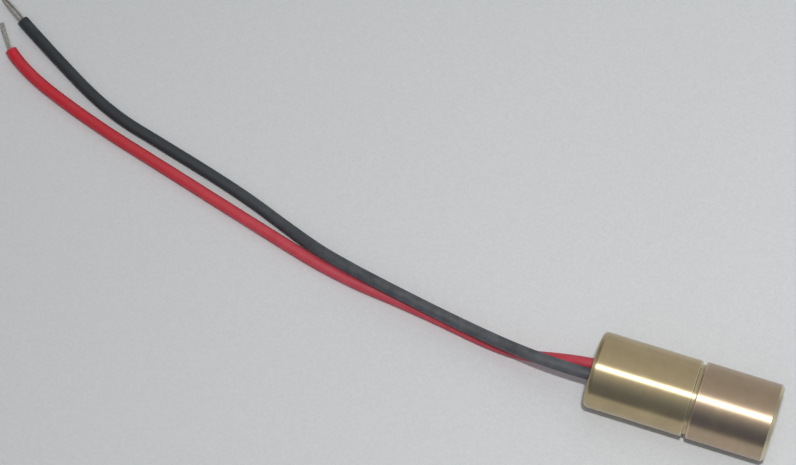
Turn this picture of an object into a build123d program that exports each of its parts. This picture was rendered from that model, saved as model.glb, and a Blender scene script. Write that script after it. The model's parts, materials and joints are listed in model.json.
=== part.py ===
from build123d import *
import os
from math import radians, tan

# Laser diode module: a turned brass barrel with a screwed focusing cap, a diode in its nose, a driver board
# behind it and two leads. It lies on its side on a bench, as its leads hold it.
# Millimetres. The origin is the middle of the module on the optical axis, +X is the way the beam leaves
# and +Z is up, so the bench lies one cap radius below the origin.

os.makedirs("parts", exist_ok=True)

# Module
module_length = 21.3
barrel_diameter = 8.9
cut_overrun = 1.0

# Rear housing
rear_edge_radius = 0.6
shoulder_chamfer = 0.12
mouth_chamfer = 0.12
barrel_wall = 0.8
seat_web = 1.5
pin_window_diameter = 3.6
neck_length = 1.3
relief_width = 0.35
nose_tip_gap = 0.7
nose_chamfer = 0.25
diode_bore_depth = 4.5
diode_bore_clearance = 0.01

# Shares of the ring between the diode's bore and the barrel's surface that the steps of the nose take up
relief_share = 0.39
thread_share = 0.573
neck_share = 0.787

# Front cap
cap_length = 9.2
cap_step = 0.05
focus_gap = 0.45
cap_rear_chamfer = 0.25
cap_front_radius = 0.4
pilot_depth = 1.4
pilot_clearance = 0.05
thread_clearance = 0.03
front_wall = 0.8
aperture_diameter = 2.5
aperture_chamfer = 0.3
ledge_width = 0.65

# Collimating lens
lens_wall = 1.22
lens_rim_thickness = 1.0
lens_dome_height = 1.1
lens_clearance = 0.03
lens_pocket_spare = 0.3
dome_clearance = 0.2

# Focus spring
spring_wire_diameter = 0.34
spring_wall_gap = 0.08
spring_end_gap = 0.03
spring_turns = 5

# Diode header and pins
stem_diameter = 5.6
stem_thickness = 1.2
notch_depth = 0.3
notch_width = 0.4
pin_diameter = 0.44
pin_circle_diameter = 2.0
pin_post_height = 0.5
seal_diameter = 1.0
seal_clearance = 0.01

# Diode can and window
can_diameter = 3.6
can_height = 2.3
can_wall = 0.25
can_flange_diameter = 4.5
can_flange_thickness = 0.25
can_edge_radius = 0.2
window_hole_diameter = 1.6
window_diameter = 2.6
window_thickness = 0.25

# Laser chip, its heat post and the monitor photodiode
post_width = 1.4
post_depth = 0.9
post_height = 1.5
submount_width = 0.8
submount_length = 0.8
submount_thickness = 0.2
laser_width = 0.3
laser_length = 0.3
laser_thickness = 0.12
photodiode_size = 0.7
photodiode_thickness = 0.2
photodiode_rise = 0.45

# Driver board, with the pins cut to end a set distance in front of its rear edge
board_width = 5.4
board_thickness = 0.5
board_front_gap = 0.8
board_rear_gap = 0.4
board_corner_radius = 0.3
pin_set_back = 3.3

# Chip parts on the board
part_gap = 0.02
chip_length = 1.6
chip_width = 0.8
resistor_height = 0.45
capacitor_height = 0.7
terminal_length = 0.3
terminal_skin = 0.02

# Drive transistor
transistor_length = 2.9
transistor_width = 1.3
transistor_height = 1.0
transistor_stand_off = 0.08
transistor_chamfer = 0.12
leg_width = 0.4
leg_thickness = 0.12
leg_reach = 0.35
leg_foot = 0.25
leg_pitch = 0.95

# Solder
solder_radius = 0.5
solder_length = 1.3
solder_edge_radius = 0.3

# Rear potting
potting_rim_recess = 0.28
potting_dish_depth = 0.2
potting_thickness = 1.8
potting_clearance = 0.02

# Leads
lead_diameter = 1.4
lead_hole_clearance = 0.03
lead_cut_reach = 0.1
conductor_diameter = 0.5
arc_share = 0.45
crossing_share = 1.15

# Diameters of the housing, the cap and the lens
cap_diameter = barrel_diameter + 2 * cap_step
lens_diameter = cap_diameter - 2 * (lens_wall + lens_clearance)
cavity_diameter = barrel_diameter - 2 * barrel_wall
diode_bore_diameter = stem_diameter + 2 * diode_bore_clearance
nose_ring = barrel_diameter - diode_bore_diameter
relief_diameter = diode_bore_diameter + relief_share * nose_ring
thread_diameter = diode_bore_diameter + thread_share * nose_ring
neck_diameter = diode_bore_diameter + neck_share * nose_ring

# Stations along the optical axis
rear_x = -module_length / 2
front_x = module_length / 2
body_length = module_length - cap_length - focus_gap
shoulder_x = rear_x + body_length
cap_rear_x = front_x - cap_length
neck_end_x = shoulder_x + neck_length
wall_inner_x = front_x - front_wall
ledge_x = wall_inner_x - lens_dome_height - dome_clearance
lens_rear_x = ledge_x - lens_rim_thickness
pocket_rear_x = lens_rear_x - lens_pocket_spare
nose_tip_x = pocket_rear_x - nose_tip_gap
stem_seat_x = nose_tip_x - diode_bore_depth
stem_front_x = stem_seat_x + stem_thickness
cavity_end_x = stem_seat_x - seat_web
potting_rim_x = rear_x + mouth_chamfer + potting_rim_recess
potting_inner_x = potting_rim_x + potting_thickness
lead_cut_x = potting_inner_x + lead_cut_reach
board_front_x = cavity_end_x - board_front_gap
board_rear_x = potting_inner_x + board_rear_gap
board_length = board_front_x - board_rear_x
pin_tail_x = board_rear_x + pin_set_back

# Heights of the pins and the board, which lies midway between the two upper pins and the lower one,
# and of the leads' bare ends that lie on it
pin_radius = pin_diameter / 2
pin_circle_radius = pin_circle_diameter / 2
board_top_z = (board_thickness - pin_circle_radius) / 2
board_bottom_z = board_top_z - board_thickness
tail_z = board_top_z + part_gap + conductor_diameter / 2

# Routes of the leads, from inside the barrel down to the bench and along it
bench_z = -cap_diameter / 2
laid_z = bench_z + lead_diameter / 2
ridden_z = laid_z + crossing_share * lead_diameter
red_route = [
    (lead_cut_x, 0.7, tail_z),
    (-12.8, 0.5, -0.45),
    (-20.05, 0.05, laid_z),
    (-32.3, 2.05, laid_z),
    (-42.6, 3.05, laid_z),
    (-53.35, 6.0, laid_z),
    (-66.25, 9.65, laid_z),
    (-76.3, 12.45, laid_z),
    (-86.1, 16.15, laid_z),
    (-88.5, 18.25, laid_z),
]
black_route = [
    (lead_cut_x, -0.75, tail_z),
    (-14.3, -1.15, 0.3),
    (-24.05, 0.65, ridden_z),
    (-42.8, 4.0, ridden_z),
    (-49.3, 6.7, laid_z),
    (-56.2, 9.3, laid_z),
    (-66.45, 12.15, laid_z),
    (-74.5, 14.25, laid_z),
    (-82.5, 18.65, laid_z),
    (-88.6, 22.4, laid_z),
]
red_tip_route = [
    red_route[-1],
    (-89.15, 18.85, laid_z),
    (-90.9, 21.3, laid_z),
]
black_tip_route = [
    black_route[-1],
    (-89.85, 23.2, laid_z),
    (-92.0, 24.6, laid_z),
]


def turned(*outline):
    """Solid of revolution about the optical axis from an outline of (x, radius) points."""
    return revolve(make_face(Polyline(*outline, close=True)), Axis.X)


def rod(diameter, start_x, end_x, y=0, z=0):
    """Round rod along the optical axis."""
    seat = Pos(start_x, y, z) * Rot(0, 90, 0)
    return seat * Cylinder(diameter / 2, end_x - start_x, align=(Align.CENTER, Align.CENTER, Align.MIN))


def rims(solid, x, diameter):
    """The circular edges of one diameter at one station along the axis."""
    hair = shoulder_chamfer / 100
    rounds = solid.edges().filter_by(GeomType.CIRCLE)
    return [e for e in rounds if abs(e.arc_center.X - x) < hair and abs(e.radius - diameter / 2) < hair]


def rear_housing():
    """Barrel with the board's cavity behind, the diode's bore in front and the nose that the cap screws on."""
    window_radius = pin_window_diameter / 2
    bore_radius = diode_bore_diameter / 2
    body = turned(
        (rear_x, barrel_diameter / 2),
        (shoulder_x, barrel_diameter / 2),
        (shoulder_x, neck_diameter / 2),
        (neck_end_x, neck_diameter / 2),
        (neck_end_x, relief_diameter / 2),
        (neck_end_x + relief_width, relief_diameter / 2),
        (neck_end_x + relief_width, thread_diameter / 2),
        (nose_tip_x, thread_diameter / 2),
        (nose_tip_x, bore_radius),
        (stem_seat_x, bore_radius),
        (stem_seat_x, window_radius),
        (cavity_end_x, window_radius),
        (cavity_end_x, cavity_diameter / 2),
        (rear_x, cavity_diameter / 2),
    )
    body = fillet(rims(body, rear_x, barrel_diameter), rear_edge_radius)
    body = chamfer(rims(body, rear_x, cavity_diameter), mouth_chamfer)
    body = chamfer(rims(body, shoulder_x, barrel_diameter), shoulder_chamfer)
    return chamfer(rims(body, nose_tip_x, thread_diameter), nose_chamfer)


def front_cap():
    """Screwed cap with a pilot bore over the neck, the thread's bore, the lens pocket and the aperture."""
    pilot_diameter = neck_diameter + 2 * pilot_clearance
    bore_diameter = thread_diameter + 2 * thread_clearance
    pocket_diameter = lens_diameter + 2 * lens_clearance
    room_diameter = lens_diameter - 2 * ledge_width
    cap = rod(cap_diameter, cap_rear_x, front_x)
    cap = chamfer(rims(cap, cap_rear_x, cap_diameter), cap_rear_chamfer)
    cap = fillet(rims(cap, front_x, cap_diameter), cap_front_radius)
    cap -= rod(pilot_diameter, cap_rear_x - cut_overrun, cap_rear_x + pilot_depth)
    cap -= rod(bore_diameter, cap_rear_x, pocket_rear_x)
    cap -= rod(pocket_diameter, cap_rear_x, ledge_x)
    cap -= rod(room_diameter, cap_rear_x, wall_inner_x)
    cap -= rod(aperture_diameter, cap_rear_x, front_x + cut_overrun)
    return chamfer(rims(cap, front_x, aperture_diameter), aperture_chamfer)


def collimating_lens():
    """Plano-convex lens, its flat side to the diode and its rim against the cap's ledge."""
    dome_radius = lens_diameter / 2 - ledge_width
    rim = rod(lens_diameter, lens_rear_x, ledge_x)
    base = (ledge_x, 0)
    crown = (ledge_x + lens_dome_height, 0)
    foot = (ledge_x, dome_radius)
    dome_arc = SagittaArc(crown, foot, dome_bulge(dome_radius))
    dome = revolve(make_face([dome_arc, Line(foot, base), Line(base, crown)]), Axis.X)
    return rim + dome


def dome_bulge(dome_radius):
    """Height of the arc over its own chord, for the half outline of a dome from its crown to its foot."""
    sphere_radius = (dome_radius**2 + lens_dome_height**2) / (2 * lens_dome_height)
    half_chord = (dome_radius**2 + lens_dome_height**2) ** 0.5 / 2
    return sphere_radius - (sphere_radius**2 - half_chord**2) ** 0.5


def focus_spring():
    """Compression spring round the can, from the header's rim to the lens."""
    coil_radius = stem_diameter / 2 - spring_wall_gap - spring_wire_diameter / 2
    end_inset = spring_end_gap + spring_wire_diameter / 2
    start_x = stem_front_x + end_inset
    coil_height = lens_rear_x - end_inset - start_x
    coil = Helix(coil_height / spring_turns, coil_height, coil_radius, (start_x, 0, 0), (1, 0, 0))
    section = Plane(coil @ 0, z_dir=coil % 0) * Circle(spring_wire_diameter / 2)
    return sweep(section, path=coil, is_frenet=True)


def pin_places():
    """Positions (y, z) of the laser pin, the monitor pin and the case pin."""
    return [(-pin_circle_radius, 0), (pin_circle_radius, 0), (0, -pin_circle_radius)]


def diode_stem():
    """Header disc with its two vee notches, its square notch and the holes of the two sealed pins."""
    stem = rod(stem_diameter, stem_seat_x, stem_front_x)
    rim_radius = stem_diameter / 2
    vee_side = notch_depth * 2**0.5
    mid_x = (stem_seat_x + stem_front_x) / 2
    long = stem_thickness + cut_overrun
    for side in (-1, 1):
        stem -= Pos(mid_x, side * rim_radius, 0) * Rot(45, 0, 0) * Box(long, vee_side, vee_side)
    stem -= Pos(mid_x, 0, rim_radius) * Box(long, notch_width, 2 * notch_depth)
    for y, z in pin_places()[:2]:
        stem -= rod(seal_diameter, stem_seat_x - cut_overrun, stem_front_x + cut_overrun, y, z)
    return stem


def pin_seals():
    """Glass beads that hold the two insulated pins in the header."""
    seals = []
    for y, z in pin_places()[:2]:
        bead = rod(seal_diameter - 2 * seal_clearance, stem_seat_x, stem_front_x, y, z)
        seals.append(bead - rod(pin_diameter + 2 * seal_clearance, rear_x, front_x, y, z))
    return Compound(children=seals)


def diode_pin(place, end_x):
    """One pin, from its tail on the driver board to the header or through it."""
    return rod(pin_diameter, pin_tail_x, end_x, *place)


def diode_can():
    """Welded can with its foot flange and the light hole in its top."""
    top_x = stem_front_x + can_height
    can = rod(can_diameter, stem_front_x, top_x)
    can = fillet(rims(can, top_x, can_diameter), can_edge_radius)
    can += rod(can_flange_diameter, stem_front_x, stem_front_x + can_flange_thickness)
    can -= rod(can_diameter - 2 * can_wall, stem_front_x - cut_overrun, top_x - can_wall)
    return can - rod(window_hole_diameter, stem_front_x, top_x + cut_overrun)


def diode_window():
    """Glass disc bonded under the can's top."""
    inner_top_x = stem_front_x + can_height - can_wall
    return rod(window_diameter, inner_top_x - window_thickness, inner_top_x)


def on_header(height, width, depth, low_z, start_x=stem_front_x):
    """Block that stands up from the header along the axis, centred sideways, from low_z upwards."""
    return Pos(start_x, 0, low_z) * Box(height, width, depth, align=(Align.MIN, Align.CENTER, Align.MIN))


def heat_post():
    """Copper post that carries the laser chip."""
    return on_header(post_height, post_width, post_depth, post_top_z() - post_depth)


def post_top_z():
    """Face of the post, which puts the middle of the chip on the optical axis."""
    return -submount_thickness - laser_thickness / 2


def laser_submount():
    """Ceramic slip between the post and the chip, flush with the post's end."""
    start_x = stem_front_x + post_height - submount_length
    return on_header(submount_length, submount_width, submount_thickness, post_top_z(), start_x)


def laser_chip():
    """Laser chip on the submount, its front facet flush with the post's end."""
    start_x = stem_front_x + post_height - laser_length
    return on_header(laser_length, laser_width, laser_thickness, -laser_thickness / 2, start_x)


def monitor_photodiode():
    """Photodiode on the header, behind and above the laser chip."""
    low_z = photodiode_rise - photodiode_size / 2
    return on_header(photodiode_thickness, photodiode_size, photodiode_size, low_z)


def driver_board():
    """Glass-fibre board that stands between the diode's pins."""
    mid_x = (board_front_x + board_rear_x) / 2
    mid_z = (board_top_z + board_bottom_z) / 2
    board = Pos(mid_x, 0, mid_z) * Box(board_length, board_width, board_thickness)
    return fillet(board.edges().filter_by(Axis.Z), board_corner_radius)


def on_top(part, x, y):
    """Set a part that is built standing on z = 0 on the board's upper side."""
    return Pos(x, y, board_top_z + part_gap) * part


def on_underside(part, x, y):
    """Set a part that is built standing on z = 0 on the board's lower side."""
    return Pos(x, y, board_bottom_z - part_gap) * Rot(180, 0, 0) * part


def chip_part(height):
    """Ceramic chip part, long in X, with its two plated ends a little proud of its body."""
    foot = (Align.CENTER, Align.CENTER, Align.MIN)
    body = Box(chip_length - 2 * terminal_skin, chip_width - 2 * terminal_skin, height - terminal_skin, align=foot)
    chip = Pos(0, 0, terminal_skin / 2) * body
    for side in (-1, 1):
        end_x = side * (chip_length - terminal_length) / 2
        chip += Pos(end_x, 0, 0) * Box(terminal_length, chip_width, height, align=foot)
    return chip


def free_board_x():
    """Middle of the board's stretch between the solder on the leads and the tails of the pins."""
    return (board_rear_x + solder_length + pin_tail_x) / 2


def series_resistor():
    """Resistor across the upper side, behind the pins."""
    return on_top(Rot(0, 0, 90) * chip_part(resistor_height), free_board_x(), 0)


def filter_capacitor():
    """Capacitor between the two upper pins."""
    return on_top(chip_part(capacitor_height), (pin_tail_x + board_front_x) / 2, 0)


def feedback_resistor():
    """Resistor on the lower side, beside the case pin."""
    side_y = (pin_radius + board_width / 2) / 2
    return on_underside(chip_part(resistor_height), (pin_tail_x + board_front_x) / 2, -side_y)


def transistor_body():
    """Moulded body of the transistor, standing on z = 0 and long in Y."""
    foot = (Align.CENTER, Align.CENTER, Align.MIN)
    height = transistor_height - transistor_stand_off
    body = Pos(0, 0, transistor_stand_off) * Box(transistor_width, transistor_length, height, align=foot)
    upper = body.faces().sort_by(Axis.Z)[-1]
    return chamfer(upper.edges(), transistor_chamfer)


def transistor_leg():
    """One gull-wing leg, from the body's +X side down to its foot on z = 0."""
    side_x = transistor_width / 2
    middle_z = transistor_height / 2
    low_z = leg_thickness / 2
    knee_x = side_x + leg_reach - leg_foot
    line = Polyline((side_x, middle_z), (knee_x, middle_z), (knee_x, low_z), (side_x + leg_reach, low_z))
    ribbon = trace(line, leg_thickness)
    return Pos(0, leg_width / 2, 0) * Rot(90, 0, 0) * extrude(ribbon, leg_width)


def transistor_legs():
    """The single leg on one side and the pair on the other."""
    legs = [transistor_leg()]
    for side in (-1, 1):
        legs.append(Rot(0, 0, 180) * Pos(0, side * leg_pitch, 0) * transistor_leg())
    return legs


def solder_joint(axis_y, axis_z, start_x, wire_diameter, upper):
    """Solder over a wire that lies along the board, trimmed to the board and to the wire."""
    blob = rod(2 * solder_radius, start_x, start_x + solder_length, axis_y, axis_z)
    ends = rims(blob, start_x, 2 * solder_radius) + rims(blob, start_x + solder_length, 2 * solder_radius)
    blob = fillet(ends, solder_edge_radius)
    face_z = board_top_z if upper else board_bottom_z
    far = Align.MAX if upper else Align.MIN
    size = cut_overrun + board_length
    blob -= Pos(start_x, axis_y, face_z) * Box(size, size, size, align=(Align.CENTER, Align.CENTER, far))
    return blob - rod(wire_diameter, start_x - size, start_x + size, axis_y, axis_z)


def solder_joints():
    """The joints of the three pins and of the two leads."""
    laser_place, monitor_place, case_place = pin_places()
    joints = [
        solder_joint(*laser_place, pin_tail_x, pin_diameter, True),
        solder_joint(*monitor_place, pin_tail_x, pin_diameter, True),
        solder_joint(*case_place, pin_tail_x, pin_diameter, False),
    ]
    for route in (red_route, black_route):
        _, y, z = route[0]
        joints.append(solder_joint(y, z, board_rear_x, conductor_diameter, True))
    return Compound(children=joints)


def lead_hole(route):
    """Hole that a lead passes through, along the first run of its route."""
    start = Vector(*route[0])
    run = Vector(*route[1]) - start
    mouth = Plane(start, z_dir=run) * Circle(lead_diameter / 2 + lead_hole_clearance)
    return extrude(mouth, run.length, both=True)


def rear_potting():
    """Resin plug that closes the barrel behind the board, dished as it sets, with the leads through it."""
    radius = cavity_diameter / 2 - potting_clearance
    dish_x = potting_rim_x + potting_dish_depth
    rim = (potting_rim_x, radius)
    middle = (dish_x, 0)
    dish = ThreePointArc(rim, middle, (potting_rim_x, -radius))
    upper_half = dish.trim(0, 0.5)
    sides = Polyline(middle, (potting_inner_x, 0), (potting_inner_x, radius), rim)
    plug = revolve(make_face([upper_half, sides]), Axis.X)
    return plug - lead_hole(red_route) - lead_hole(black_route)


def arc_radii(route):
    """Largest radius at each corner: a share of the shorter run over the tangent of half the turn."""
    points = [Vector(*p) for p in route]
    radii = []
    for before, corner, after in zip(points, points[1:], points[2:]):
        arriving = corner - before
        leaving = after - corner
        half_turn = radians(arriving.get_angle(leaving) / 2)
        radii.append(arc_share * min(arriving.length, leaving.length) / tan(half_turn))
    return radii


def tube(route, diameter, name):
    """Round tube along straight runs joined by tangent arcs."""
    radii = arc_radii(route)
    path = FilletPolyline(*route, radius=radii)
    print(name, "radii", [round(r, 1) for r in radii], "length", round(path.length, 2))
    section = Plane(path @ 0, z_dir=path % 0) * Circle(diameter / 2)
    swept = sweep(section, path=path)
    print(name, "volume", round(swept.volume, 3), "of", round(section.area * path.length, 3))
    return swept


def lead_tail(route):
    """Bare end of a lead's conductor, from the cut of the insulation on to the driver board."""
    x, y, z = route[0]
    return rod(conductor_diameter, x, board_rear_x + solder_length, y, z)


laser_place, monitor_place, case_place = pin_places()
transistor_x = free_board_x()
placed_legs = [on_underside(leg, transistor_x, 0) for leg in transistor_legs()]

parts = {
    "rear_housing": rear_housing(),
    "front_cap": front_cap(),
    "collimating_lens": collimating_lens(),
    "focus_spring": focus_spring(),
    "diode_stem": diode_stem(),
    "pin_seals": pin_seals(),
    "laser_pin": diode_pin(laser_place, stem_front_x + pin_post_height),
    "monitor_pin": diode_pin(monitor_place, stem_front_x + pin_post_height),
    "case_pin": diode_pin(case_place, stem_seat_x),
    "diode_can": diode_can(),
    "diode_window": diode_window(),
    "heat_post": heat_post(),
    "laser_submount": laser_submount(),
    "laser_chip": laser_chip(),
    "monitor_photodiode": monitor_photodiode(),
    "driver_board": driver_board(),
    "series_resistor": series_resistor(),
    "feedback_resistor": feedback_resistor(),
    "filter_capacitor": filter_capacitor(),
    "drive_transistor": on_underside(transistor_body(), transistor_x, 0),
    "transistor_legs": Compound(children=placed_legs),
    "solder_joints": solder_joints(),
    "rear_potting": rear_potting(),
    "red_lead": tube(red_route, lead_diameter, "red_lead"),
    "black_lead": tube(black_route, lead_diameter, "black_lead"),
    "red_lead_tip": tube(red_tip_route, conductor_diameter, "red_lead_tip"),
    "black_lead_tip": tube(black_tip_route, conductor_diameter, "black_lead_tip"),
    "red_lead_tail": lead_tail(red_route),
    "black_lead_tail": lead_tail(black_route),
}

for name, solid in parts.items():
    export_step(solid, f"parts/{name}.step")
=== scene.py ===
import bmesh
import bpy
import json
from math import cos, exp, radians, sin, tau
from mathutils import Matrix, Vector


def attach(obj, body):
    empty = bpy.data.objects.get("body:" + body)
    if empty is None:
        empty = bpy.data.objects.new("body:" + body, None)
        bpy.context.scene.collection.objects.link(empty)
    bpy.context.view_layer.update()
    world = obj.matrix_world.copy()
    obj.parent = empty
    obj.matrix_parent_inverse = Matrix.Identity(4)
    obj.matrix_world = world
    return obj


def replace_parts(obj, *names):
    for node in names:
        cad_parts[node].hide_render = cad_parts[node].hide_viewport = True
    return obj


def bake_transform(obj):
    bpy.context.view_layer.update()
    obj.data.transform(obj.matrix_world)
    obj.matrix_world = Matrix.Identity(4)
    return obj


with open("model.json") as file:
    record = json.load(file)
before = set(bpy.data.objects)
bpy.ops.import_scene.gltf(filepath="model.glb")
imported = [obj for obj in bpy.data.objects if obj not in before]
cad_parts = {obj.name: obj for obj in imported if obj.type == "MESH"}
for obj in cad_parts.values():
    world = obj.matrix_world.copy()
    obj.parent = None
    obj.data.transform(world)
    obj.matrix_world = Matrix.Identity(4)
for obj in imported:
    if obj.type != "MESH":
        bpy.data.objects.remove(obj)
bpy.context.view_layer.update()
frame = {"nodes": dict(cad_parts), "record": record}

# Laser diode module on a sheet of paper. Metres, in the frame of the imported model: +X is the way the beam
# leaves, +Z is up and the paper lies one cap radius below the optical axis.

# Stations where bare metal begins on the barrel and on the cap, and of their edges that are rubbed bright;
# on these edges the brighter colour is partly wear and partly a painted highlight where the bevels mirror
# the dim room
NECK_X = 0.001
BARREL_RUB_AND_HIGHLIGHT = (0.0009, 0.00102)
# Where the cap's front bevel begins: bare metal, its paler colour partly a painted reflection
CAP_BEVEL_X = 0.01027
CAP_RUB_AND_HIGHLIGHT = (0.0014, 0.00172)

# Levels of the paper, of a lead on it, of the black lead where it rides on the red one, and of soldered ends
CAP_RADIUS = 0.0045
PAPER_Z = -CAP_RADIUS
LEAD_DIAMETER = 0.0014
LAID_Z = PAPER_Z + LEAD_DIAMETER / 2
RIDDEN_Z = LAID_Z + 1.15 * LEAD_DIAMETER
TAIL_Z = 0.00002

# Routes of the leads, from inside the barrel down to the paper and along it
RED_ROUTE = [
    (-0.00835, 0.0007, TAIL_Z),
    (-0.0128, 0.0005, -0.00045),
    (-0.02005, 0.00005, LAID_Z),
    (-0.0323, 0.00205, LAID_Z),
    (-0.0426, 0.00305, LAID_Z),
    (-0.05335, 0.006, LAID_Z),
    (-0.06625, 0.00965, LAID_Z),
    (-0.0763, 0.01245, LAID_Z),
    (-0.0861, 0.01615, LAID_Z),
    (-0.0885, 0.01825, LAID_Z),
]
BLACK_ROUTE = [
    (-0.00835, -0.00075, TAIL_Z),
    (-0.0143, -0.00115, 0.0003),
    (-0.02405, 0.00065, RIDDEN_Z),
    (-0.0428, 0.004, RIDDEN_Z),
    (-0.0493, 0.0067, LAID_Z),
    (-0.0562, 0.0093, LAID_Z),
    (-0.06645, 0.01215, LAID_Z),
    (-0.0745, 0.01425, LAID_Z),
    (-0.0825, 0.01865, LAID_Z),
    (-0.0886, 0.0224, LAID_Z),
]
RED_TIP_ROUTE = [RED_ROUTE[-1], (-0.08915, 0.01885, LAID_Z), (-0.0909, 0.0213, LAID_Z)]
BLACK_TIP_ROUTE = [BLACK_ROUTE[-1], (-0.08985, 0.0232, LAID_Z), (-0.092, 0.0246, LAID_Z)]


# Helpers for finishes

def set_socket(tree, socket, value):
    """Link a socket to another one, or set its value."""
    if isinstance(value, bpy.types.NodeSocket):
        tree.links.new(value, socket)
    else:
        socket.default_value = value


def add_node(tree, kind, inputs=None, **settings):
    """One shader node with its settings, and its sockets set to a value or linked to another socket."""
    node = tree.nodes.new("ShaderNode" + kind)
    for name, value in settings.items():
        setattr(node, name, value)
    for name, value in (inputs or {}).items():
        set_socket(tree, node.inputs[name], value)
    return node


def new_finish(name):
    """An empty finish: its material, node tree and main shader."""
    material = bpy.data.materials.new(name)
    material.use_nodes = True
    tree = material.node_tree
    return material, tree, tree.nodes["Principled BSDF"]


def apply_sockets(tree, shader, sockets):
    """Set or link the shader's sockets."""
    for name, value in sockets.items():
        set_socket(tree, shader.inputs[name], value)


def place_on_part(tree, stretch=(1, 1, 1)):
    """Object coordinates, stretched along each axis."""
    coordinates = add_node(tree, "TexCoord").outputs["Object"]
    return add_node(tree, "Mapping", {"Vector": coordinates, "Scale": stretch}).outputs["Vector"]


def axes_of_part(tree):
    """Object coordinates as three values, X, Y and Z."""
    coordinates = add_node(tree, "TexCoord").outputs["Object"]
    return add_node(tree, "SeparateXYZ", {"Vector": coordinates}).outputs


def multiplied(tree, first, second):
    """Two values multiplied."""
    return add_node(tree, "Math", {0: first, 1: second}, operation="MULTIPLY").outputs["Value"]


def grain(tree, place, scale, detail=3.0, roughness=0.5):
    """Noise between 0 and 1."""
    inputs = {"Vector": place, "Scale": scale, "Detail": detail, "Roughness": roughness}
    return add_node(tree, "TexNoise", inputs).outputs["Fac"]


def graded(tree, value, *stops):
    """Colour ramp from (position, colour) stops."""
    ramp = add_node(tree, "ValToRGB", {"Fac": value})
    elements = ramp.color_ramp.elements
    while len(elements) < len(stops):
        elements.new(1.0)
    for element, (position, colour) in zip(elements, stops):
        element.position = position
        element.color = (*colour, 1)
    return ramp.outputs["Color"]


def ranged(tree, value, low, high, new_low, new_high):
    """A value carried from one range to another, clamped."""
    inputs = {"Value": value, "From Min": low, "From Max": high, "To Min": new_low, "To Max": new_high}
    return add_node(tree, "MapRange", inputs).outputs["Result"]


def within(tree, value, start, end):
    """1 between two stations and 0 outside them, over a soft fiftieth of a millimetre."""
    soft = 0.00001
    rise = ranged(tree, value, start - soft, start + soft, 0.0, 1.0)
    fall = ranged(tree, value, end - soft, end + soft, 1.0, 0.0)
    return multiplied(tree, rise, fall)


# Numbers of the mixing node's sockets for colours, since its sockets for other kinds bear the same names
MIX_FACTOR = 0
MIX_FIRST = 6
MIX_SECOND = 7
MIX_RESULT = 2


def blended(tree, factor, first, second):
    """Two colours mixed by a factor."""
    mix = add_node(tree, "Mix", data_type="RGBA")
    set_socket(tree, mix.inputs[MIX_FACTOR], factor)
    for number, colour in ((MIX_FIRST, first), (MIX_SECOND, second)):
        is_plain = isinstance(colour, tuple)
        set_socket(tree, mix.inputs[number], (*colour, 1) if is_plain else colour)
    return mix.outputs[MIX_RESULT]


def relief(tree, height, depth, onto=None):
    """Normal of a surface whose height runs over depth in metres."""
    inputs = {"Height": height, "Distance": depth, "Strength": 1.0}
    if onto is not None:
        inputs["Normal"] = onto
    return add_node(tree, "Bump", inputs).outputs["Normal"]


# Finishes of the brass

def turned_brass(name, bright, dull, bare, bare_from, rubbed, rub_and_highlight, roughness, lengthwise, metallic):
    """Turned and lacquered brass with marks round its axis and thin tarnish.

    It is bare metal past a station, and rubbed bright between two stations, where the brighter colour is
    also a painted highlight that stands in for light the bevel there would mirror. Its marks spread the
    light lengthwise.
    """
    soft = 0.00002
    material, tree, shader = new_finish(name)
    marks = grain(tree, place_on_part(tree, (6500, 60, 60)), 1.0, 3.0, 0.6)
    tarnish = grain(tree, place_on_part(tree), 420.0, 5.0, 0.62)
    streaks = grain(tree, place_on_part(tree, (900, 240, 240)), 1.0, 3.0)
    patched = graded(tree, tarnish, (0.3, dull), (0.68, bright))
    streaked = blended(tree, ranged(tree, streaks, 0.35, 0.75, 0.0, 0.35), patched, dull)
    station = axes_of_part(tree)["X"]
    cut = ranged(tree, station, bare_from - soft, bare_from + soft, 0.0, 1.0)
    tangent = add_node(tree, "Tangent", direction_type="RADIAL", axis="X").outputs["Tangent"]
    apply_sockets(tree, shader, {
        "Base Color": blended(tree, within(tree, station, *rub_and_highlight), blended(tree, cut, streaked, bare), rubbed),
        "Metallic": metallic,
        "Roughness": ranged(tree, tarnish, 0.3, 0.75, roughness, roughness + 0.06),
        "Anisotropic": lengthwise,
        "Anisotropic Rotation": 0.25,
        "Tangent": tangent,
        "Normal": relief(tree, marks, 0.0000004),
    })
    return material


def barrel_brass():
    """The barrel's yellow brass, bare over the neck and the nose."""
    return turned_brass(
        "barrel_brass",
        bright=(0.64, 0.515, 0.3),
        dull=(0.52, 0.415, 0.245),
        bare=(0.6, 0.515, 0.325),
        bare_from=NECK_X,
        # Rubbed front edge of the barrel, made brighter as a painted highlight where its chamfer mirrors the
        # dim room
        rubbed=(0.8, 0.72, 0.48),
        rub_and_highlight=BARREL_RUB_AND_HIGHLIGHT,
        roughness=0.315,
        lengthwise=0.9,
        metallic=0.92,
    )


def cap_brass():
    """The cap's rosier brass, bare on the bevel round its front, whose paler colour there is partly a
    painted reflection of the pale room ahead of it.
    """
    return turned_brass(
        "cap_brass",
        bright=(0.62, 0.478, 0.33),
        dull=(0.51, 0.392, 0.275),
        # Bare front bevel, paler in part as a painted reflection of the pale room ahead of the cap
        bare=(0.8, 0.73, 0.49),
        bare_from=CAP_BEVEL_X,
        # Rubbed back bevel of the cap, made brighter as a painted highlight where it mirrors the dim room
        # behind
        rubbed=(0.72, 0.58, 0.41),
        rub_and_highlight=CAP_RUB_AND_HIGHLIGHT,
        roughness=0.375,
        lengthwise=0.8,
        metallic=1.0,
    )


# Finishes of the leads

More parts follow.
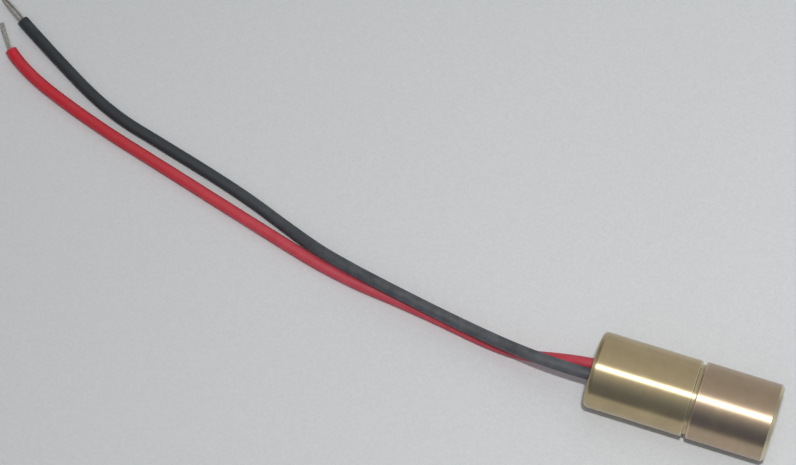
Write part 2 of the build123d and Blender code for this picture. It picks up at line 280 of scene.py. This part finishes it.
# Stations of the leads' far end and of their end at the barrel, and the shares of the way between them at
# which the insulation has its five tones; the black lead's lighter tones towards the barrel are painted
# light, where the lamp is closer and the brass throws light back on it, and the red lead is deepest at its
# far end
LEAD_SPAN = (-0.09, -0.011)
TONE_SHARES = (0.0, 0.2, 0.41, 0.6, 0.86)
RED_TONES = (
    (0.68, 0.01, 0.028),
    (0.56, 0.018, 0.028),
    (0.645, 0.052, 0.072),
    (0.6, 0.082, 0.112),
    (0.58, 0.07, 0.1),
)
# The black lead's tones, lightening towards the barrel as painted light
BLACK_TONES_WITH_PAINTED_LIGHT = (
    (0.019, 0.027, 0.033),
    (0.032, 0.038, 0.042),
    (0.046, 0.053, 0.061),
    (0.088, 0.094, 0.102),
    (0.116, 0.122, 0.132),
)


def vinyl(name, tones, roughness):
    """Extruded vinyl insulation: fine pores, a soft mottle, rubs that shine, and tones along its length,
    which on the black lead lighten towards the barrel as painted light.
    """
    material, tree, shader = new_finish(name)
    mottle = grain(tree, place_on_part(tree), 700.0, 4.0, 0.6)
    pores = grain(tree, place_on_part(tree), 6500.0, 3.0)
    rubbed = grain(tree, place_on_part(tree, (180, 900, 900)), 1.0, 2.0)
    share = ranged(tree, axes_of_part(tree)["X"], *LEAD_SPAN, 0.0, 1.0)
    tone = graded(tree, share, *zip(TONE_SHARES, tones))
    shade = tuple(0.8 * part for part in tones[2])
    apply_sockets(tree, shader, {
        "Base Color": blended(tree, ranged(tree, mottle, 0.3, 0.7, 0.7, 0.0), tone, shade),
        "Roughness": ranged(tree, rubbed, 0.45, 0.72, roughness, roughness - 0.3),
        "Specular IOR Level": 0.45,
        "Normal": relief(tree, pores, 0.000012, relief(tree, mottle, 0.00006)),
    })
    return material


def tinned_strand():
    """Tinned copper strand, dull silver with the copper showing faintly at the lay marks."""
    material, tree, shader = new_finish("tinned_copper")
    wear = grain(tree, place_on_part(tree), 4000.0, 4.0)
    apply_sockets(tree, shader, {
        "Base Color": graded(tree, wear, (0.25, (0.44, 0.4, 0.35)), (0.6, (0.66, 0.64, 0.6))),
        "Metallic": 0.92,
        "Roughness": ranged(tree, wear, 0.3, 0.7, 0.34, 0.5),
        "Normal": relief(tree, wear, 0.000006),
    })
    return material


# Finishes of what is inside

# Drawn and plated metals: light tone, dark tone, roughness and scale of the wear
PLAIN_METALS = {
    "spring_steel": ((0.62, 0.61, 0.59), (0.42, 0.41, 0.4), 0.25, 2500.0),
    "gilt_steel": ((0.83, 0.63, 0.3), (0.74, 0.53, 0.24), 0.2, 1800.0),
    "gilt_copper": ((0.8, 0.55, 0.27), (0.7, 0.46, 0.22), 0.28, 1800.0),
    "solder": ((0.74, 0.74, 0.75), (0.56, 0.56, 0.57), 0.22, 1500.0),
}

# Moulded, cast and fired surfaces: light tone, dark tone, roughness, and scale and depth of the grain
CAST_SURFACES = {
    "seal_glass": ((0.05, 0.09, 0.08), (0.02, 0.04, 0.035), 0.12, 1800.0, 0.000004),
    "white_ceramic": ((0.8, 0.79, 0.76), (0.7, 0.69, 0.66), 0.5, 9000.0, 0.000003),
    "semiconductor": ((0.16, 0.17, 0.2), (0.1, 0.11, 0.13), 0.12, 5000.0, 0.0000005),
    "resistor_black": ((0.035, 0.035, 0.04), (0.018, 0.018, 0.02), 0.3, 5200.0, 0.000004),
    "capacitor_tan": ((0.5, 0.36, 0.22), (0.4, 0.28, 0.17), 0.42, 6400.0, 0.000004),
    "moulded_black": ((0.03, 0.03, 0.032), (0.016, 0.016, 0.017), 0.5, 8800.0, 0.00001),
    "potting_resin": ((0.024, 0.024, 0.026), (0.012, 0.012, 0.013), 0.28, 1100.0, 0.00004),
}

# Clear optical pieces: tint, refractive index and roughness
CLEAR_PIECES = {
    "lens_acrylic": ((0.93, 0.95, 0.96), 1.49, 0.03),
    "window_glass": ((0.92, 0.96, 0.96), 1.52, 0.02),
}


def plain_metal(name, light, dark, roughness, scale):
    """Drawn or plated metal with a slight variation of tone and gloss."""
    material, tree, shader = new_finish(name)
    wear = grain(tree, place_on_part(tree), scale, 4.0, 0.6)
    apply_sockets(tree, shader, {
        "Base Color": graded(tree, wear, (0.3, dark), (0.7, light)),
        "Metallic": 1.0,
        "Roughness": ranged(tree, wear, 0.3, 0.7, roughness, roughness + 0.15),
        "Normal": relief(tree, wear, 0.000003),
    })
    return material


def cast_surface(name, light, dark, roughness, scale, depth):
    """Moulded, cast or fired surface with a fine grain."""
    material, tree, shader = new_finish(name)
    fine = grain(tree, place_on_part(tree), scale, 5.0, 0.65)
    apply_sockets(tree, shader, {
        "Base Color": graded(tree, fine, (0.3, dark), (0.7, light)),
        "Roughness": ranged(tree, fine, 0.3, 0.7, roughness, roughness + 0.15),
        "Normal": relief(tree, fine, depth),
    })
    return material


def clear_piece(name, tint, index, roughness):
    """Clear optical piece with a few faint marks in its polish."""
    material, tree, shader = new_finish(name)
    marks = grain(tree, place_on_part(tree), 2400.0, 3.0)
    apply_sockets(tree, shader, {
        "Base Color": (*tint, 1),
        "Roughness": ranged(tree, marks, 0.4, 0.8, roughness, roughness + 0.05),
        "IOR": index,
        "Transmission Weight": 1.0,
        "Normal": relief(tree, marks, 0.0000008),
    })
    return material


def board_green():
    """Solder mask over the weave of the glass cloth."""
    material, tree, shader = new_finish("board_green")
    place = place_on_part(tree)
    threads = {"Vector": place, "Scale": 2600.0}
    warp = add_node(tree, "TexWave", threads, bands_direction="X").outputs["Fac"]
    weft = add_node(tree, "TexWave", threads, bands_direction="Y").outputs["Fac"]
    mottle = grain(tree, place, 900.0)
    apply_sockets(tree, shader, {
        "Base Color": graded(tree, mottle, (0.3, (0.02, 0.15, 0.06)), (0.7, (0.035, 0.21, 0.09))),
        "Roughness": ranged(tree, mottle, 0.3, 0.7, 0.28, 0.4),
        "Normal": relief(tree, blended(tree, 0.5, warp, weft), 0.000008),
    })
    return material


FINISHES = {
    "barrel_brass": barrel_brass(),
    "cap_brass": cap_brass(),
    "board_green": board_green(),
    "tinned_copper": tinned_strand(),
    "red_insulation": vinyl("red_insulation", RED_TONES, roughness=0.58),
    "black_insulation": vinyl("black_insulation", BLACK_TONES_WITH_PAINTED_LIGHT, roughness=0.62),
}
for make, looks in ((plain_metal, PLAIN_METALS), (cast_surface, CAST_SURFACES), (clear_piece, CLEAR_PIECES)):
    for slot_name, look in looks.items():
        FINISHES[slot_name] = make(slot_name, *look)


def dress_nodes():
    """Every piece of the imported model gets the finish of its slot."""
    for subpart in frame["record"]["subparts"]:
        piece = frame["nodes"][subpart["node"]]
        for slot in piece.material_slots:
            slot.material = FINISHES[subpart["material_slot"]]


# Helpers for pieces

def new_object(name, data):
    """An object in the scene."""
    item = bpy.data.objects.new(name, data)
    bpy.context.scene.collection.objects.link(item)
    return item


def add_piece(name, data, finish, body):
    """A finished piece that rides on a body, or on none where it lies between two."""
    piece = new_object(name, data)
    if not data.materials:
        data.materials.append(FINISHES[finish])
    if body:
        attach(piece, body)
    return piece


# Leads

def nurbs_line(name, route):
    """A smooth line that a route's points steer, laid as a curve."""
    curve = bpy.data.curves.new(name, "CURVE")
    curve.dimensions = "3D"
    curve.resolution_u = 24
    spline = curve.splines.new("NURBS")
    spline.points.add(len(route) - 1)
    for point, place in zip(spline.points, route):
        point.co = (*place, 1)
    spline.order_u = 3
    spline.use_endpoint_u = True
    return curve


def make_round(curve, radius, resolution):
    """Give a curve a round section and closed ends."""
    curve.bevel_depth = radius
    curve.bevel_resolution = resolution
    curve.use_fill_caps = True


def insulated_lead(name, route, finish):
    """Insulation of one lead along its whole route."""
    curve = nurbs_line(name, route)
    make_round(curve, LEAD_DIAMETER / 2, resolution=10)
    return add_piece(name, curve, finish, "module")


def read_line(route):
    """Points along a route's smooth line."""
    holder = new_object("line", nurbs_line("line", route))
    evaluated = holder.evaluated_get(bpy.context.evaluated_depsgraph_get())
    line = bpy.data.meshes.new_from_object(evaluated)
    points = [vertex.co.copy() for vertex in line.vertices]
    bpy.data.objects.remove(holder)
    bpy.data.meshes.remove(line)
    return points


STRAND_RADIUS = 0.000095

# Places of the strands in strand radii, (across, up) at the insulation and at the tip: the red lead's were
# dipped in solder and keep together, and the black lead's part into two bundles between their ends
DIPPED_SPACING = 1.75
DIPPED_STRANDS = [((0, 0), (0, 0))]
DIPPED_STRANDS += [
    ((DIPPED_SPACING * cos(tau * k / 6), DIPPED_SPACING * sin(tau * k / 6)),) * 2 for k in range(6)
]
PARTED_STRANDS = [
    ((-2.9, 0), (-1.9, 0)),
    ((-1.9, 1.6), (-1.0, 1.7)),
    ((-0.9, 0), (0, 0)),
    ((-1.9, -1.6), (-1.0, -1.7)),
    ((2.9, 0), (1.9, 0)),
    ((1.9, 1.6), (1.0, 1.7)),
    ((1.9, -1.6), (1.0, -1.7)),
]


def bare_strands(name, route, strands, twist=0.0, parted=0.0):
    """Tinned strands of a bare lead end. Each has its place (across, up) at the insulation and at its tip.

    They twist round each other by some turns, and midway the strands of the two sides part by some strand
    radii.
    """
    up = Vector((0, 0, 1))
    line = read_line(route)
    curve = bpy.data.curves.new(name, "CURVE")
    curve.dimensions = "3D"
    make_round(curve, STRAND_RADIUS, resolution=4)
    last = len(line) - 1
    for start, end in strands:
        spline = curve.splines.new("POLY")
        spline.points.add(last)
        for index, point in enumerate(line):
            share = index / last
            ahead = line[min(index + 1, last)] - line[max(index - 1, 0)]
            side = ahead.cross(up).normalized()
            place = Vector(start).lerp(Vector(end), share)
            place.x += parted * sin(tau / 2 * share) * (1 if start[0] > 0 else -1)
            place.rotate(Matrix.Rotation(tau * twist * share, 2))
            offset = side * place.x + up * place.y
            spline.points[index].co = (*(point + offset * STRAND_RADIUS), 1)
    return add_piece(name, curve, "tinned_copper", "module")


def lay_leads():
    """Both leads with their bare ends, in place of the plain tubes."""
    red = insulated_lead("red_lead_insulation", RED_ROUTE, "red_insulation")
    black = insulated_lead("black_lead_insulation", BLACK_ROUTE, "black_insulation")
    red_strands = bare_strands("red_lead_strands", RED_TIP_ROUTE, DIPPED_STRANDS, twist=0.15)
    black_strands = bare_strands("black_lead_strands", BLACK_TIP_ROUTE, PARTED_STRANDS, parted=1.0)
    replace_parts(red, "red_lead")
    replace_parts(black, "black_lead")
    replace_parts(red_strands, "red_lead_tip")
    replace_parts(black_strands, "black_lead_tip")


# Turned brass, thread, spring and resin, all round the optical axis. Their sizes are in millimetres.

MILLIMETRE = 0.001
TURN_STEPS = 160
SHARP_ANGLE = radians(25)

# Places nearer to each other than this, in metres, are one
SAME_PLACE = 1e-7

# Outlines as (station, radius) corners, the way the tool runs round them
BARREL_OUTLINE = [
    (-10.65, 3.77), (-10.65, 4.45), (1.0, 4.45), (1.0, 4.1007), (2.3, 4.1007), (2.3, 3.45),
    (2.65, 3.45), (2.65, 3.5), (6.3, 3.5), (6.55, 3.45), (6.55, 2.81), (2.05, 2.81),
    (2.05, 1.8), (0.55, 1.8), (0.55, 3.65), (-10.53, 3.65),
]
CAP_OUTLINE = [
    (1.45, 4.1507), (1.45, 4.5), (10.65, 4.5), (10.65, 1.25), (9.85, 1.25), (9.85, 2.6),
    (8.55, 2.6), (8.55, 3.28), (7.25, 3.28), (7.25, 3.78), (2.85, 3.78), (2.85, 4.1507),
]

# Edges to round or bevel: the (station, radius) corner, the size of the edge and its steps
BARREL_EDGES = [
    ((-10.65, 4.45), 0.6, 8),
    ((1.0, 4.45), 0.07, 2),
    ((1.0, 4.1007), 0.08, 3),
    ((2.3, 4.1007), 0.08, 2),
    ((-10.65, 3.77), 0.03, 2),
]
CAP_EDGES = [
    ((1.45, 4.5), 0.25, 4),
    ((10.65, 4.5), 0.38, 1),
    ((10.65, 1.25), 0.3, 1),
    ((1.45, 4.1507), 0.04, 2),
]

# Middle of the resin's face, and the radius of the resin
RESIN_FACE = -10.05
RESIN_RADIUS = 3.63


def lay_outline(work, outline, closed=True):
    """Corners and sides of an outline, laid above the optical axis."""
    corners = [work.verts.new((station * MILLIMETRE, 0, radius * MILLIMETRE)) for station, radius in outline]
    ends = corners[1:] + corners[:1] if closed else corners[1:]
    sides = [work.edges.new(pair) for pair in zip(corners, ends)]
    return corners, sides


def turn(work, geometry):
    """Turn an outline once round the optical axis."""
    bmesh.ops.spin(work, geom=geometry, cent=(0, 0, 0), axis=(1, 0, 0), angle=tau, steps=TURN_STEPS,
                   use_merge=True)


def wind(work, section, turns, pitch, steps):
    """Wind a section round the optical axis and return its last place. The steps are those of one turn."""
    wound = bmesh.ops.spin(work, geom=section, cent=(0, 0, 0), axis=(1, 0, 0), angle=tau * turns,
                           dvec=(pitch * MILLIMETRE / steps, 0, 0), steps=steps * turns)
    return wound["geom_last"]


def close_shape(work):
    """Join what meets, fill the open ends and turn the faces outwards."""
    bmesh.ops.remove_doubles(work, verts=work.verts, dist=SAME_PLACE)
    open_edges = [edge for edge in work.edges if edge.is_boundary]
    if open_edges:
        bmesh.ops.holes_fill(work, edges=open_edges, sides=0)
    bmesh.ops.recalc_face_normals(work, faces=work.faces)


def add_mesh(name, work, finish, body):
    """A finished piece from worked mesh data, smooth but for its sharp edges."""
    mesh = bpy.data.meshes.new(name)
    work.to_mesh(mesh)
    work.free()
    mesh.shade_smooth()
    mesh.set_sharp_from_angle(angle=SHARP_ANGLE)
    piece = add_piece(name, mesh, finish, body)
    hold = piece.modifiers.new("flat faces", "WEIGHTED_NORMAL")
    hold.keep_sharp = True
    hold.weight = 100
    return piece


def at_corner(vertex, corner):
    """Whether a vertex lies on the circle that a corner of the outline turns through."""
    station, radius = (size * MILLIMETRE for size in corner)
    across = Vector((vertex.co.y, vertex.co.z)).length
    return abs(vertex.co.x - station) < SAME_PLACE and abs(across - radius) < SAME_PLACE


def turned_piece(name, outline, edges, finish, body):
    """A piece turned on the lathe about the optical axis."""
    work = bmesh.new()
    corners, sides = lay_outline(work, outline)
    turn(work, corners + sides)
    close_shape(work)
    for corner, size, steps in edges:
        rim = [edge for edge in work.edges if all(at_corner(vertex, corner) for vertex in edge.verts)]
        bmesh.ops.bevel(work, geom=rim, offset=size * MILLIMETRE, offset_type="OFFSET", affect="EDGES",
                        segments=steps, profile=0.5, material=-1)
    return add_mesh(name, work, finish, body)


def nose_thread():
    """Fine thread on the nose, a ridge that winds forward half a millimetre a turn."""
    pitch = 0.5
    turns = 7
    steps = 96
    start = 2.7
    root_radius = 3.48
    crest_radius = 3.74
    foot = 0.06
    ridge = [
        (start, root_radius),
        (start + foot, root_radius),
        (start + pitch / 2, crest_radius),
        (start + pitch - foot, root_radius),
    ]
    work = bmesh.new()
    corners, sides = lay_outline(work, ridge)
    wind(work, corners + sides, turns, pitch, steps)
    close_shape(work)
    return add_mesh("nose_thread", work, "barrel_brass", "module")


def coil_spring():
    """Focus spring: a drawn wire with a close coil at each end and three open ones between them."""
    coil_radius = 2.55
    wire_radius = 0.17
    start = 3.45
    end = 7.35
    close_pitch = 0.36
    open_turns = 3
    open_pitch = (end - start - 2 * close_pitch) / open_turns
    steps = 60
    work = bmesh.new()
    above_axis = Matrix.Translation((start * MILLIMETRE, 0, coil_radius * MILLIMETRE))
    place = above_axis @ Matrix.Rotation(tau / 4, 4, "X")
    bmesh.ops.create_circle(work, segments=12, radius=wire_radius * MILLIMETRE, matrix=place)
    section = work.verts[:] + work.edges[:]
    for turns, pitch in ((1, close_pitch), (open_turns, open_pitch), (1, close_pitch)):
        section = wind(work, section, turns, pitch, steps)
    close_shape(work)
    spring = add_mesh("coil_spring", work, "spring_steel", None)
    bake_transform(spring)
    return spring


def resin_level(y, z):
    """Station of the resin's face: a shallow dish with a fillet up each lead and up the barrel's wall."""
    dish_depth = 0.12
    wall_rise = 0.08
    wall_fillet = 0.2
    lead_radius = 0.7
    lead_rise = 0.3
    lead_fillet = 0.16
    level = RESIN_FACE - dish_depth * (y * y + z * z) / RESIN_RADIUS ** 2
    level -= wall_rise * exp((Vector((y, z)).length - RESIN_RADIUS) / wall_fillet)
    for lead_y, lead_z in ((0.62, -0.18), (-0.9, 0.08)):
        away = Vector((y - lead_y, z - lead_z)).length - lead_radius
        level -= lead_rise * exp(-max(away, 0) / lead_fillet)
    return level


def resin_plug():
    """Resin poured behind the board: dished where it shrank, and drawn up round each lead."""
    rings = 30
    edge_station = -10.25
    inner_station = -8.45
    face_from = -10
    outline = [
        (RESIN_FACE, 0),
        (edge_station, RESIN_RADIUS),
        (inner_station, RESIN_RADIUS),
        (inner_station, 0),
    ]
    work = bmesh.new()
    sides = lay_outline(work, outline, closed=False)[1]
    bmesh.ops.subdivide_edges(work, edges=sides[:1], cuts=rings)
    turn(work, work.verts[:] + work.edges[:])
    close_shape(work)
    for vertex in work.verts:
        if vertex.co.x < face_from * MILLIMETRE:
            vertex.co.x = resin_level(vertex.co.y / MILLIMETRE, vertex.co.z / MILLIMETRE) * MILLIMETRE
    return add_mesh("resin_plug", work, "potting_resin", "module")


def turn_brass():
    """The barrel, its thread, the cap, the resin and the spring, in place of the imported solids."""
    barrel = turned_piece("turned_barrel", BARREL_OUTLINE, BARREL_EDGES, "barrel_brass", "module")
    cap = turned_piece("turned_cap", CAP_OUTLINE, CAP_EDGES, "cap_brass", "focusing_cap")
    nose_thread()
    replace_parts(barrel, "rear_housing")
    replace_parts(cap, "front_cap")
    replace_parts(resin_plug(), "rear_potting")
    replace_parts(coil_spring(), "focus_spring")


# Paper, light and camera

# Places across the paper between which its painted shade, seen only in the brass's reflections, goes over
# from dark to plain
PAINTED_SHADE_SPAN = (-0.045, -0.023)


def paper_finish():
    """Plain paper: cool pale grey with a fine tooth, and painted shade that darkens it towards the leads'
    far ends.

    Its camera side is painted dark where the brass mirrors it: a painted reflection of the shade in front of
    the sheet.
    """
    material, tree, shader = new_finish("paper")
    tooth = grain(tree, place_on_part(tree), 2200.0, 4.0, 0.6)
    clouds = grain(tree, place_on_part(tree), 26.0, 2.0)
    fibres = grain(tree, place_on_part(tree), 3200.0, 2.0, 0.7)
    axes = axes_of_part(tree)
    tone = graded(tree, clouds, (0.3, (0.76, 0.775, 0.78)), (0.7, (0.78, 0.795, 0.8)))
    # Painted shade: the paper darkens towards the leads' far ends
    tone = blended(tree, ranged(tree, axes["X"], LEAD_SPAN[0], 0.0, 0.5, 0.0), tone, (0.65, 0.66, 0.665))
    tone = blended(tree, ranged(tree, fibres, 0.3, 0.7, 0.24, 0.0), tone, (0.5, 0.51, 0.52))
    # Painted reflection of shade: for rays mirrored off the brass, the camera's side of the paper is painted
    # dark
    reflected_shade = ranged(tree, axes["Y"], *PAINTED_SHADE_SPAN, 1.0, 0.13)
    mirrored = add_node(tree, "LightPath").outputs["Is Glossy Ray"]
    tone = blended(tree, multiplied(tree, reflected_shade, mirrored), tone, (0.12, 0.13, 0.16))
    apply_sockets(tree, shader, {
        "Base Color": tone,
        "Roughness": 0.85,
        "Specular IOR Level": 0.2,
        "Normal": relief(tree, tooth, 0.00001),
    })
    return material


def lay_paper():
    """The sheet that the module lies on."""
    mesh = bpy.data.meshes.new("paper")
    sheet = bmesh.new()
    level = Matrix.Translation((0, 0, PAPER_Z))
    bmesh.ops.create_grid(sheet, x_segments=1, y_segments=1, size=2.0, matrix=level)
    sheet.to_mesh(mesh)
    sheet.free()
    mesh.materials.append(paper_finish())
    paper = new_object("paper", mesh)


def light_room():
    """Room that is pale overhead and on the far side, and dim and bluish on the camera's side.

    It is dim beyond both ends of the module too.
    """
    world = bpy.data.worlds.new("room")
    bpy.context.scene.world = world
    world.use_nodes = True
    tree = world.node_tree
    background = tree.nodes["Background"]
    direction = add_node(tree, "TexCoord").outputs["Generated"]
    parts = add_node(tree, "SeparateXYZ", {"Vector": direction}).outputs
    across = ranged(tree, parts["Y"], -1.0, 1.0, 0.0, 1.0)
    room = graded(
        tree, across,
        (0.0, (0.17, 0.19, 0.25)),
        (0.06, (0.28, 0.32, 0.42)),
        (0.12, (0.42, 0.46, 0.55)),
        (0.2, (0.72, 0.74, 0.8)),
        (0.27, (0.95, 0.95, 0.98)),
        (0.6, (0.98, 0.98, 0.98)),
        (0.8, (0.86, 0.86, 0.87)),
        (1.0, (0.66, 0.66, 0.68)),
    )
    lengthwise = add_node(tree, "Math", {0: parts["X"]}, operation="ABSOLUTE").outputs["Value"]
    ends = graded(
        tree, lengthwise,
        (0.12, (1.0, 1.0, 1.0)),
        (0.42, (0.16, 0.16, 0.16)),
        (0.84, (0.1, 0.1, 0.1)),
        (0.96, (0.5, 0.5, 0.5)),
    )
    tree.links.new(room, background.inputs["Color"])
    tree.links.new(ends, background.inputs["Strength"])


def set_up(item, place, way):
    """Put a lamp or the camera in its place, looking a way."""
    item.location = place
    item.rotation_mode = "QUATERNION"
    item.rotation_quaternion = way.to_track_quat("-Z", "Y")


def hang_lamp():
    """Small lamp overhead, a little to the camera's side, which draws the bright line along the barrel."""
    distance = 0.26
    lean = radians(13.1)
    data = bpy.data.lights.new("lamp", "AREA")
    data.shape = "DISK"
    data.size = 0.014
    data.energy = 0.375
    place = Vector((0.01, -sin(lean) * distance, cos(lean) * distance))
    aimed_at = Vector((0.1, 0.13, PAPER_Z))
    set_up(new_object("lamp", data), place, aimed_at - place)


def aim_camera():
    """Camera of the photograph: seen from steeply above, in front of the barrel's side."""
    target = Vector((-0.0375414, 0.0107227, -0.0045))
    azimuth = radians(-71.5757)
    elevation = radians(66.6212)
    distance = 0.407689
    back = Vector((cos(elevation) * cos(azimuth), cos(elevation) * sin(azimuth), sin(elevation)))
    data = bpy.data.cameras.new("camera")
    data.sensor_width = 36.0
    data.lens = 158.29
    data.clip_start = 0.01
    camera = new_object("camera", data)
    set_up(camera, target + back * distance, -back)
    bpy.context.scene.camera = camera


bpy.context.scene.view_settings.view_transform = "Standard"
dress_nodes()
lay_leads()
turn_brass()
lay_paper()
light_room()
hang_lamp()
aim_camera()
